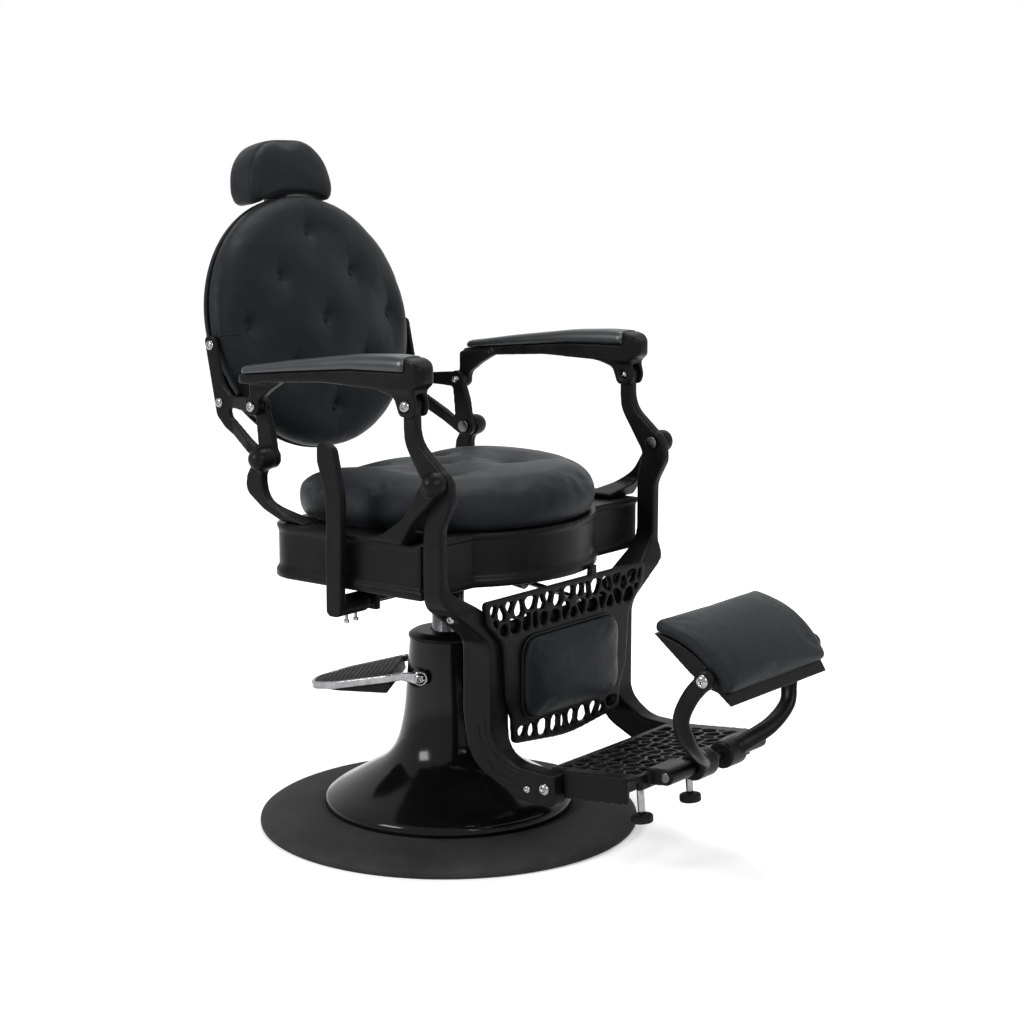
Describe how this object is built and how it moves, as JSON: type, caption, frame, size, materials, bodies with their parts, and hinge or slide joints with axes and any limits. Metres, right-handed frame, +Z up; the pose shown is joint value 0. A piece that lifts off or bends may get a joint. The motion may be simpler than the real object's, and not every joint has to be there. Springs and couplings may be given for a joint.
{
  "type": "barber chair",
  "caption": "Barber's chair with a round pump base, tufted oval back, sliding headrest, linked reclining arms and legs, openwork calf panel, tread plate and tilting foot pad.",
  "frame": {"origin": "middle of the base plate's underside on the floor, on the swivel axis", "axes": "+Z up, the sitter faces -Y, +X is the sitter's left"},
  "size_m": [0.665, 1.1061, 1.1745],
  "materials": {
    "base_coat": "matte black texture coat",
    "gloss_coat": "gloss black enamel",
    "casting": "satin black powder coat on cast aluminium",
    "steel": "blackened steel",
    "gas_coat": "black coated tube, hollow",
    "bright": "polished chrome",
    "upholstery": "black grained leather over foam",
    "arm_skin": "soft black moulded skin",
    "grip": "black moulded knob",
    "rubber": "black rubber"
  },
  "bodies": {
    "base": {"base_plate": "base_coat", "column_cover": "gloss_coat", "column_cap": "gloss_coat", "pump_cylinder": "steel", "pedal_bolts": "bright"},
    "ram": {"lift_ram": "steel"},
    "pedal": {"pedal_loop": "bright", "pedal_tread": "rubber"},
    "seat": {"turntable": "casting", "seat_frame": "casting", "seat_cushion": "upholstery", "seat_buttons": "upholstery", "rear_post_right": "casting", "rear_post_left": "casting", "front_horn_right": "casting", "front_horn_left": "casting", "recline_pins": "bright", "knee_pins": "bright", "lever_bracket": "steel", "gas_bracket": "steel"},
    "lever": {"recline_lever": "casting", "lever_shaft": "steel", "lever_screws": "bright"},
    "back": {"back_iron_right": "casting", "back_iron_left": "casting", "iron_bolts": "bright", "back_shell": "upholstery", "back_cushion": "upholstery", "back_buttons": "upholstery", "headrest_guide": "casting", "headrest_knob": "grip"},
    "headrest": {"headrest_post": "steel", "headrest_cushion": "upholstery"},
    "arm_right": {"arm_frame_right": "casting", "arm_pad_right": "arm_skin", "arm_pins_right": "bright"},
    "arm_left": {"arm_frame_left": "casting", "arm_pad_left": "arm_skin", "arm_pins_left": "bright"},
    "leg": {"leg_casting_right": "casting", "leg_casting_left": "casting", "calf_panel": "casting", "calf_pad": "upholstery", "leg_crossbar": "casting", "panel_bolts": "bright", "toe_bolts": "bright", "footrest": "casting", "bumper_stems": "steel", "bumper_feet": "rubber"},
    "gas_tube": {"gas_spring_tube": "gas_coat"},
    "gas_rod": {"gas_spring_rod": "steel"},
    "yoke": {"yoke_arm_right": "casting", "yoke_arm_left": "casting", "yoke_rod": "steel", "pad_bolts": "bright"},
    "foot_rest_pad": {"foot_pad": "upholstery", "foot_pad_tray": "casting"}
  },
  "joints": [
    {"name": "lift", "type": "slide", "parent": "base", "child": "ram", "axis": [0, 0, 1], "range_m": [0, 0.15]},
    {"name": "swivel", "type": "hinge", "parent": "ram", "child": "seat", "pos_m": [0, 0, 0.45], "axis": [0, 0, 1], "continuous": true},
    {"name": "pump_pedal", "type": "hinge", "parent": "base", "child": "pedal", "pos_m": [-0.018, 0.03118, 0.268], "axis": [-0.866, -0.5, 0], "range_deg": [0, 16], "stiffness_Nm_per_rad": 20, "springref_deg": -8.59},
    {"name": "recline", "type": "hinge", "parent": "seat", "child": "back", "pos_m": [0, 0.167, 0.654], "axis": [-1, 0, 0], "range_deg": [0, 40]},
    {"name": "arm_right_pivot", "type": "hinge", "parent": "back", "child": "arm_right", "pos_m": [-0.274, 0.187, 0.7395], "axis": [-1, 0, 0], "range_deg": [-42, 0]},
    {"name": "arm_left_pivot", "type": "hinge", "parent": "back", "child": "arm_left", "pos_m": [0.274, 0.187, 0.7395], "axis": [-1, 0, 0], "range_deg": [-42, 0]},
    {"name": "leg_swing", "type": "hinge", "parent": "seat", "child": "leg", "pos_m": [0, -0.23, 0.653], "axis": [-1, 0, 0], "range_deg": [0, 30]},
    {"name": "gas_tube_turn", "type": "hinge", "parent": "seat", "child": "gas_tube", "pos_m": [0.1, 0.122, 0.448], "axis": [-1, 0, 0], "range_deg": [0, 5.5]},
    {"name": "gas_rod_slide", "type": "slide", "parent": "gas_tube", "child": "gas_rod", "axis": [0, -0.9904, -0.1382], "range_m": [0, 0.125]},
    {"name": "headrest_slide", "type": "slide", "parent": "back", "child": "headrest", "axis": [0, 0.1994, 0.9799], "range_m": [0, 0.1]},
    {"name": "yoke_fold", "type": "hinge", "parent": "leg", "child": "yoke", "pos_m": [0, -0.547, 0.206], "axis": [-1, 0, 0], "range_deg": [0, 55]},
    {"name": "foot_pad_tilt", "type": "hinge", "parent": "yoke", "child": "foot_rest_pad", "pos_m": [0, -0.627, 0.376], "axis": [-1, 0, 0], "range_deg": [-20, 20]},
    {"name": "recline_lever_pull", "type": "hinge", "parent": "seat", "child": "lever", "pos_m": [-0.309, -0.028, 0.436], "axis": [-1, 0, 0], "range_deg": [0, 18], "stiffness_Nm_per_rad": 8, "springref_deg": -6.88}
  ],
  "couplings": [
    {"joint": "arm_right_pivot", "follows": "recline", "ratio": -1.0466},
    {"joint": "arm_left_pivot", "follows": "recline", "ratio": -1.0466},
    {"joint": "leg_swing", "follows": "recline", "ratio": 0.7389},
    {"joint": "gas_tube_turn", "follows": "recline", "ratio": 0.128},
    {"joint": "gas_rod_slide", "follows": "recline", "m_per_rad": 0.178}
  ]
}
